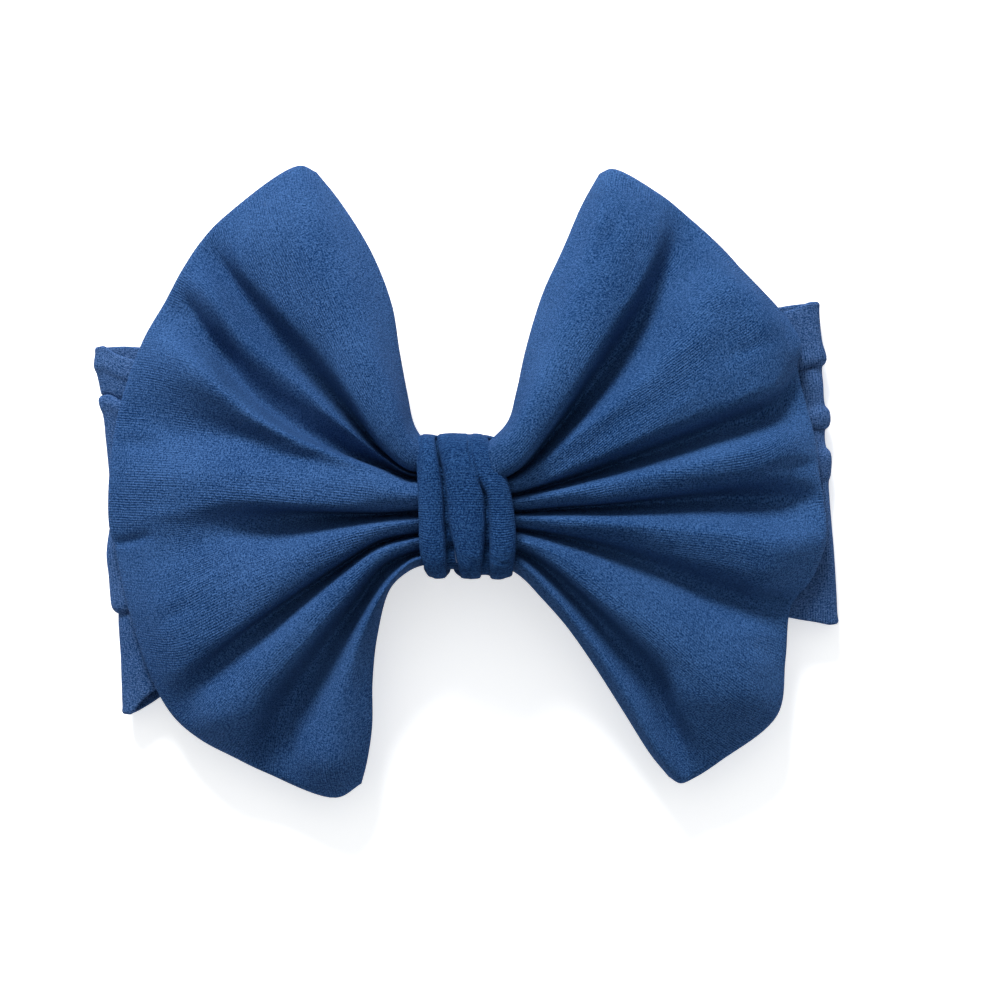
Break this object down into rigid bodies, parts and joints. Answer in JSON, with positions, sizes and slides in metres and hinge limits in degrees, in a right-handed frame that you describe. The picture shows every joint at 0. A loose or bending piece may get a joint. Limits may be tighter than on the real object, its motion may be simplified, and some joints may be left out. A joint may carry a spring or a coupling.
{
  "type": "hair bow headwrap",
  "caption": "Oversized butterfly-shaped knit bow gathered in a pleated centre wrap on a wide soft headband loop that opens to fit a head.",
  "frame": {"origin": "on the plane the headband loop rests on, under the centre of the whole bow's box", "axes": "+Z out of the bow's front, +X to the right and +Y to the top as seen from the front"},
  "size_m": [0.172, 0.1414, 0.036],
  "materials": {
    "wing_cloth": "soft brushed double knit, matte",
    "knot_cloth": "soft brushed double knit, matte",
    "band_cloth": "soft brushed double knit, matte",
    "sewing_thread": "spun polyester thread"
  },
  "bodies": {
    "knot": {"center_wrap": "knot_cloth", "bow_waist": "wing_cloth", "gather_thread": "sewing_thread", "wrap_stitches": "sewing_thread", "band_center": "band_cloth"},
    "left_wing": {"left_wing_front": "wing_cloth", "left_wing_back": "wing_cloth"},
    "right_wing": {"right_wing_front": "wing_cloth", "right_wing_back": "wing_cloth"},
    "band_front_left": {"band_front_left": "band_cloth"},
    "band_front_right": {"band_front_right": "band_cloth"},
    "band_back_left": {"band_back_left": "band_cloth", "band_seam_allowance": "band_cloth", "band_seam_thread": "sewing_thread"},
    "band_back_right": {"band_back_right": "band_cloth"}
  },
  "joints": [
    {"name": "left_wing_lift", "type": "hinge", "parent": "knot", "child": "left_wing", "pos_m": [-0.01185, -0.00485, 0.027], "axis": [0, 1, 0], "range_deg": [0, 60]},
    {"name": "right_wing_lift", "type": "hinge", "parent": "knot", "child": "right_wing", "pos_m": [0.01195, -0.00485, 0.027], "axis": [0, -1, 0], "range_deg": [0, 60]},
    {"name": "loop_open", "type": "hinge", "parent": "knot", "child": "band_front_left", "pos_m": [-0.01271, -0.00585, 0.0098], "axis": [0.0785, -0.9969, 0], "range_deg": [0, 45]},
    {"name": "loop_open_right", "type": "hinge", "parent": "knot", "child": "band_front_right", "pos_m": [0.01282, -0.00385, 0.0098], "axis": [-0.0785, 0.9969, 0], "range_deg": [0, 45]},
    {"name": "loop_fold_left", "type": "hinge", "parent": "band_front_left", "child": "band_back_left", "pos_m": [-0.08269, -0.01136, 0.005], "axis": [-0.0785, 0.9969, 0], "range_deg": [0, 90]},
    {"name": "loop_fold_right", "type": "hinge", "parent": "band_front_right", "child": "band_back_right", "pos_m": [0.0834, 0.00171, 0.005], "axis": [0.0785, -0.9969, 0], "range_deg": [0, 90]}
  ],
  "couplings": [
    {"joint": "loop_open_right", "follows": "loop_open", "ratio": 1},
    {"joint": "loop_fold_left", "follows": "loop_open", "ratio": 2},
    {"joint": "loop_fold_right", "follows": "loop_open", "ratio": 2}
  ]
}
